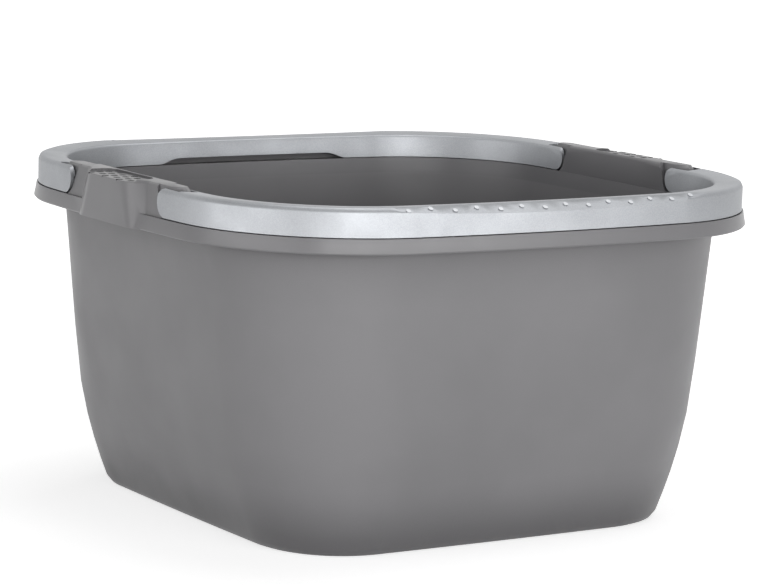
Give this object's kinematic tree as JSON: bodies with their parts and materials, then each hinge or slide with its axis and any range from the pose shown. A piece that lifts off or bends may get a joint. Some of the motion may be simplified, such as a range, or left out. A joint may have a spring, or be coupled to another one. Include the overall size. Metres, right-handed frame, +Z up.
{
  "type": "washing up bowl",
  "caption": "Square plastic washing up bowl with rounded corners, tapered walls, a rim with a hanging skirt and channel handles that lie over the rim and fold up from side lugs.",
  "frame": {"origin": "middle of the flat base, on the surface the bowl stands on", "axes": "+X through the side lugs and parallel to the hinge lines, +Y from the front handle to the rear handle, +Z up"},
  "size_m": [0.3792, 0.3646, 0.2038],
  "materials": {
    "bowl_grey": "satin moulded polypropylene",
    "handle_silver": "silver pearl moulded polypropylene"
  },
  "bodies": {
    "bowl": {"bowl": "bowl_grey"},
    "front_handle": {"front_handle": "handle_silver"},
    "rear_handle": {"rear_handle": "handle_silver"}
  },
  "joints": [
    {"name": "front_handle_hinge", "type": "hinge", "parent": "bowl", "child": "front_handle", "pos_m": [0, -0.0625, 0.1948], "axis": [-1, 0, 0], "range_deg": [0, 95]},
    {"name": "rear_handle_hinge", "type": "hinge", "parent": "bowl", "child": "rear_handle", "pos_m": [0, 0.0625, 0.1948], "axis": [1, 0, 0], "range_deg": [0, 95]}
  ]
}
